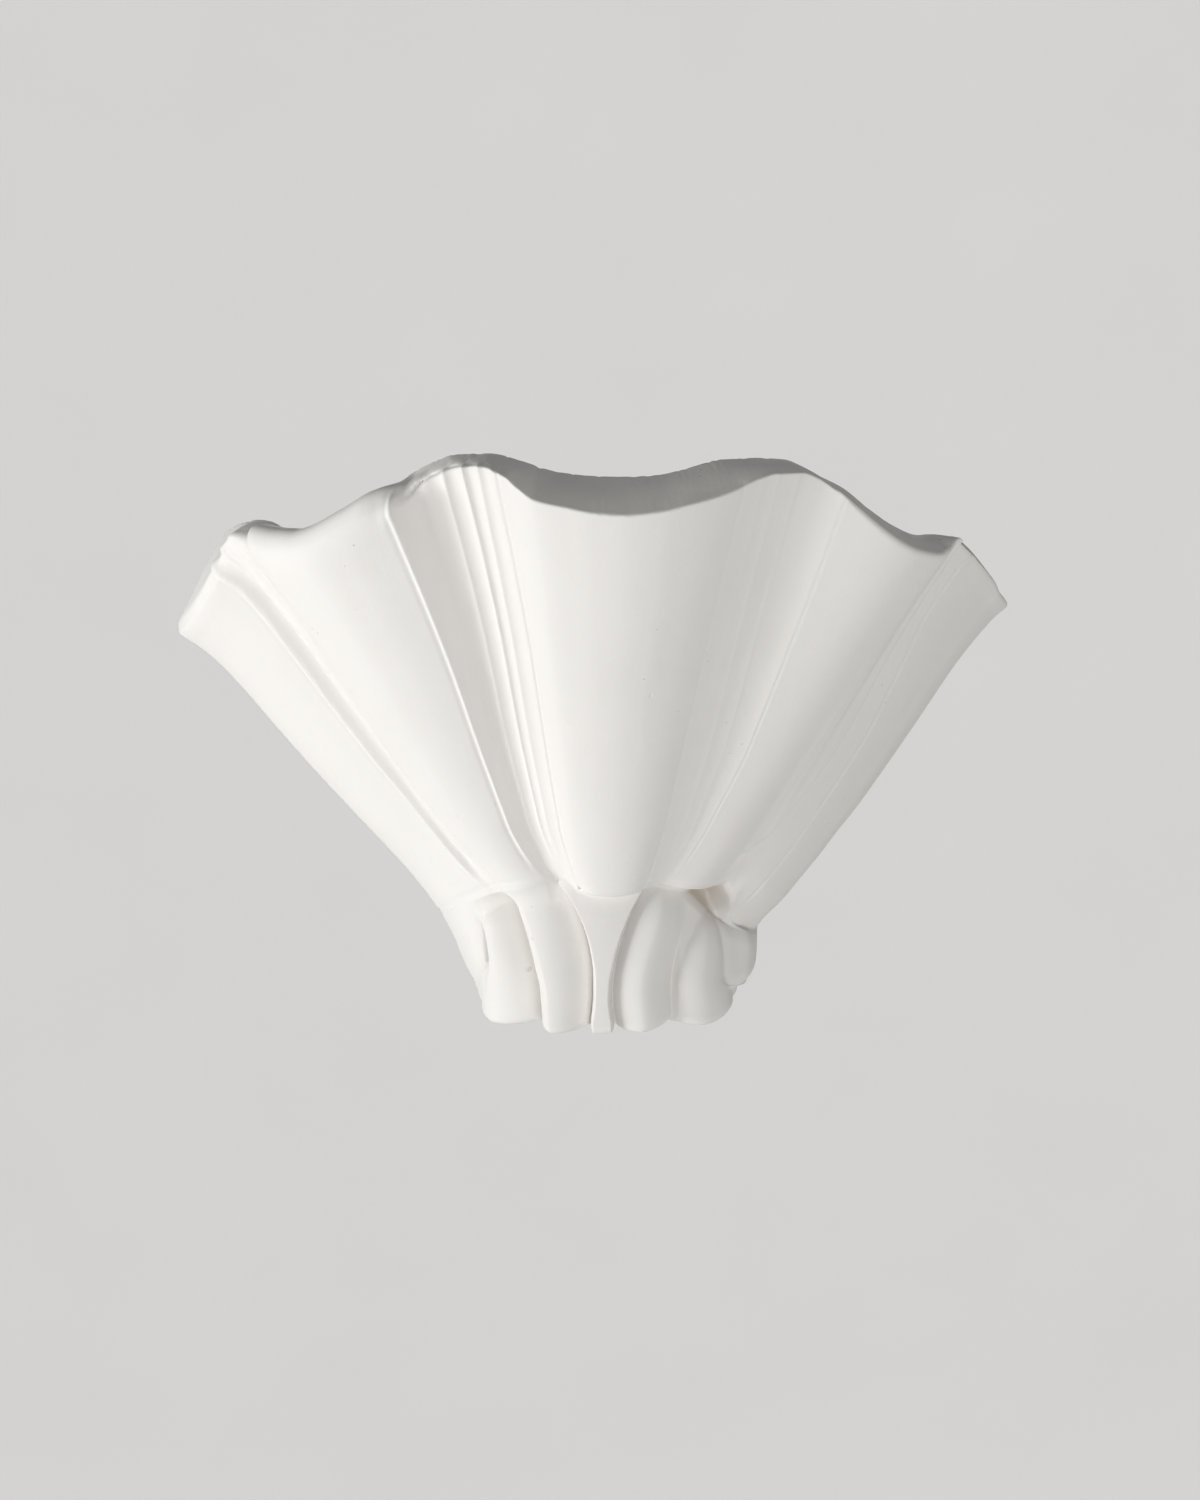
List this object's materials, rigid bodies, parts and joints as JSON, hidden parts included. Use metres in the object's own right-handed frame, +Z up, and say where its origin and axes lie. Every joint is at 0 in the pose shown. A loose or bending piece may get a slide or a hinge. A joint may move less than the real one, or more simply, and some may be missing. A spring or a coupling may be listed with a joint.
{
  "type": "shell wall sconce",
  "caption": "Cast plaster shell uplighter with fluted bands and a lobed base, hung on a steel wall bracket that carries its lamp holder.",
  "frame": {"origin": "on the wall, midway between the bracket's two wall screws", "axes": "+X along the wall to the viewer's right, +Y into the wall, +Z up"},
  "size_m": [0.35, 0.155, 0.2427],
  "materials": {
    "plaster": "matte",
    "zinc_steel": "satin",
    "screw_steel": "satin",
    "holder_black": "satin",
    "porcelain": "satin",
    "brass": "satin",
    "solder": "satin",
    "cap_glass": "gloss",
    "cap_nickel": "satin",
    "opal_glass": "gloss",
    "clear_glass": "gloss",
    "filament": "matte",
    "block_nylon": "satin",
    "grommet_rubber": "matte",
    "wire_brown": "satin",
    "wire_blue": "satin",
    "wire_green": "satin"
  },
  "bodies": {
    "bracket": {"wall_bracket": "zinc_steel", "lamp_arm": "zinc_steel", "arm_screws": "screw_steel", "arm_nuts": "screw_steel", "holder_nipple": "screw_steel", "holder_nut": "screw_steel", "holder_dome": "holder_black", "holder_skirt": "holder_black", "holder_carrier": "porcelain", "holder_screw_shell": "brass", "centre_contact": "brass", "side_contact": "brass", "contact_screws": "brass", "terminal_block": "block_nylon", "terminal_tubes": "brass", "terminal_screws": "screw_steel", "block_screw": "screw_steel", "earth_washer": "screw_steel", "earth_ring": "cap_nickel", "earth_screw": "screw_steel", "cable_grommet": "grommet_rubber", "wire_live": "wire_brown", "wire_neutral": "wire_blue", "wire_earth": "wire_green"},
    "shell": {"plaster_shell": "plaster", "hanger_plate_left": "zinc_steel", "hanger_plate_right": "zinc_steel"},
    "lamp": {"lamp_tip_contact": "solder", "lamp_insulator": "cap_glass", "lamp_cap": "cap_nickel", "lamp_envelope": "opal_glass", "lamp_stem": "clear_glass", "lamp_support": "cap_nickel", "lamp_filaments": "filament"}
  },
  "joints": [
    {"name": "shell_lift", "type": "slide", "parent": "bracket", "child": "shell", "axis": [0, 0, 1], "range_m": [0, 0.013]},
    {"name": "lamp_unscrew", "type": "slide", "parent": "bracket", "child": "lamp", "axis": [0, 0, 1], "range_m": [0, 0.034]}
  ]
}
